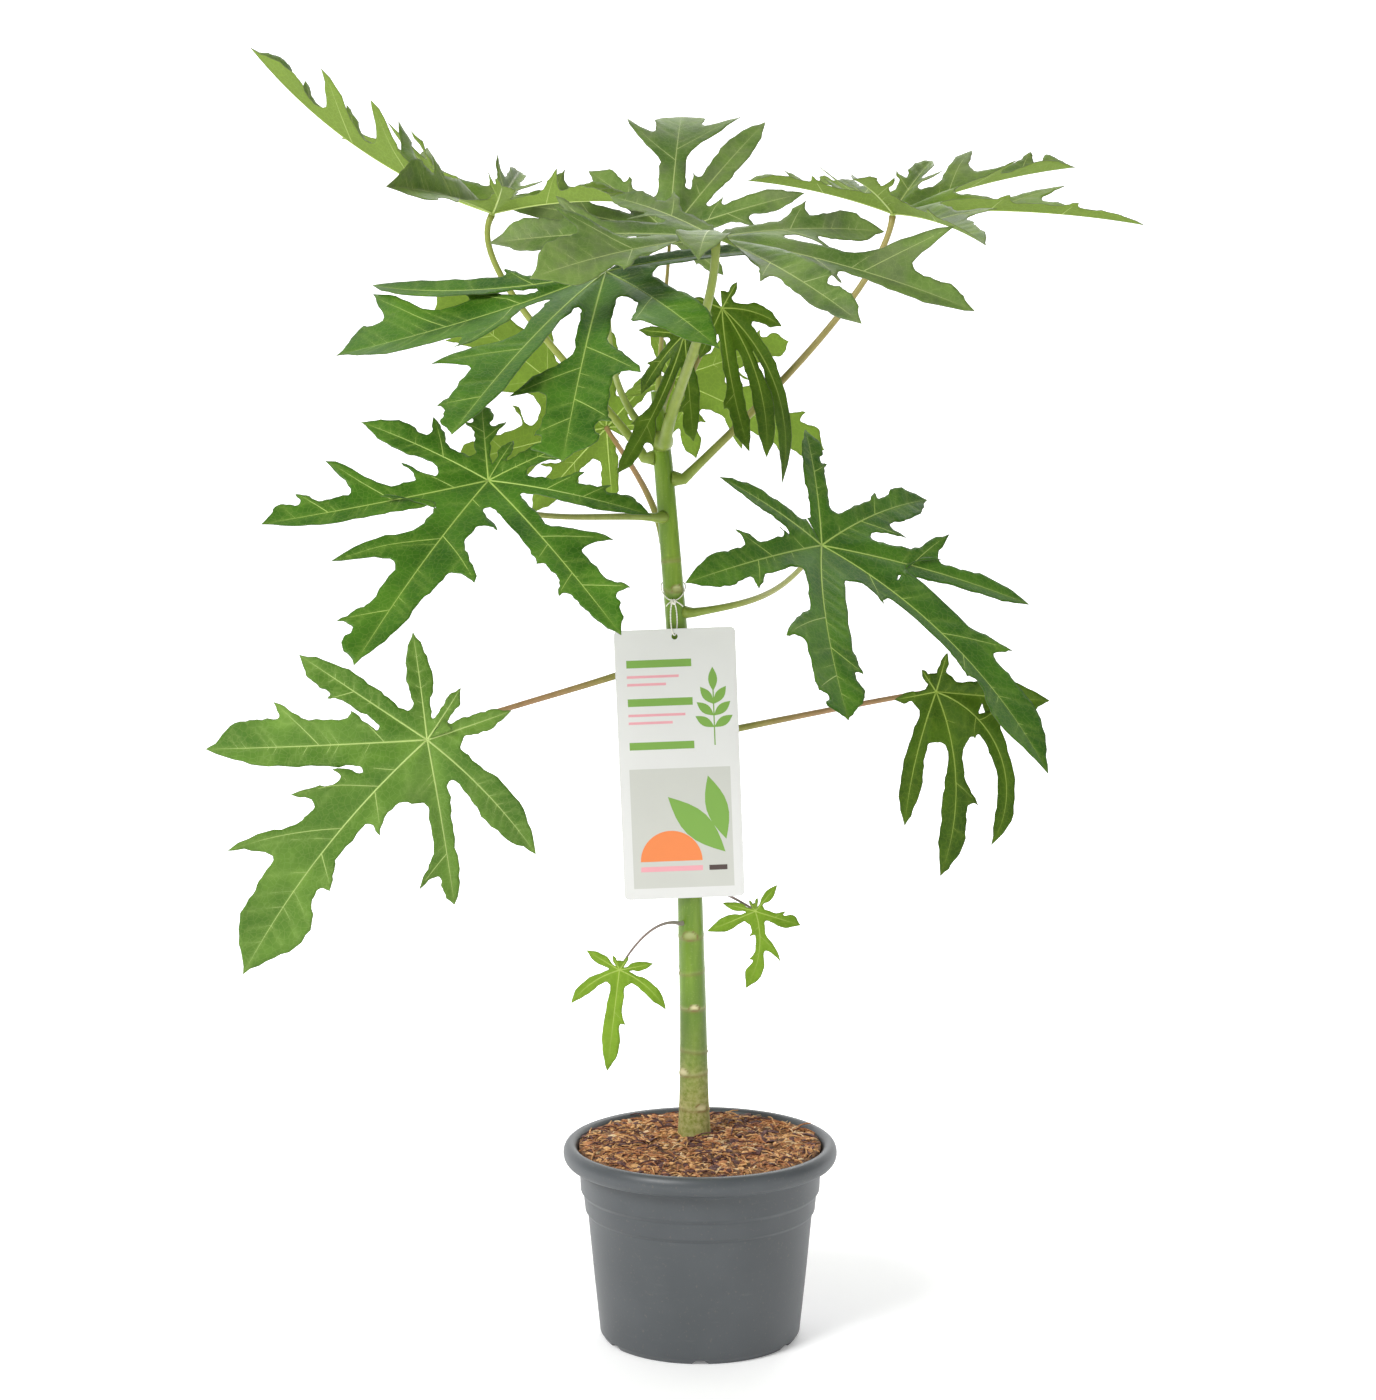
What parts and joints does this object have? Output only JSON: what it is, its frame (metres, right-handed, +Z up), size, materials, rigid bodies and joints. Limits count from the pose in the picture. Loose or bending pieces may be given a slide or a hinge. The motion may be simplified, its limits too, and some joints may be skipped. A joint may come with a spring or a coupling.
{
  "type": "potted papaya plant",
  "caption": "Young papaya plant with a green stem and hand-shaped, deeply lobed leaves on long stalks, in a round grey nursery pot, with a hanging card tag.",
  "frame": {"origin": "middle of the flat underside of the pot, on the surface the plant stands on", "axes": "+Z up along the plant; -Y towards the viewer who faces the tag; +X to that viewer's right"},
  "size_m": [0.6968, 0.57, 1.0009],
  "materials": {
    "pot": "satin",
    "substrate": "rough",
    "stem": "smooth green bark",
    "stalk": "satin",
    "blade": "satin",
    "tag": "matte",
    "string": "matte"
  },
  "bodies": {
    "root": {"pot": "pot", "substrate": "substrate", "stem": "stem", "stalk_01": "stalk", "blade_01": "blade", "stalk_02": "stalk", "blade_02": "blade", "stalk_03": "stalk", "blade_03": "blade", "stalk_04": "stalk", "blade_04": "blade", "stalk_05": "stalk", "blade_05": "blade", "stalk_06": "stalk", "blade_06": "blade", "stalk_07": "stalk", "blade_07": "blade", "stalk_08": "stalk", "blade_08": "blade", "stalk_09": "stalk", "blade_09": "blade", "stalk_10": "stalk", "blade_10": "blade", "stalk_11": "stalk", "blade_11": "blade", "stalk_12": "stalk", "blade_12": "blade", "stalk_13": "stalk", "blade_13": "blade", "stalk_14": "stalk", "blade_14": "blade", "stalk_15": "stalk", "blade_15": "blade", "tag": "tag", "tag_string": "string"}
  },
  "joints": []
}
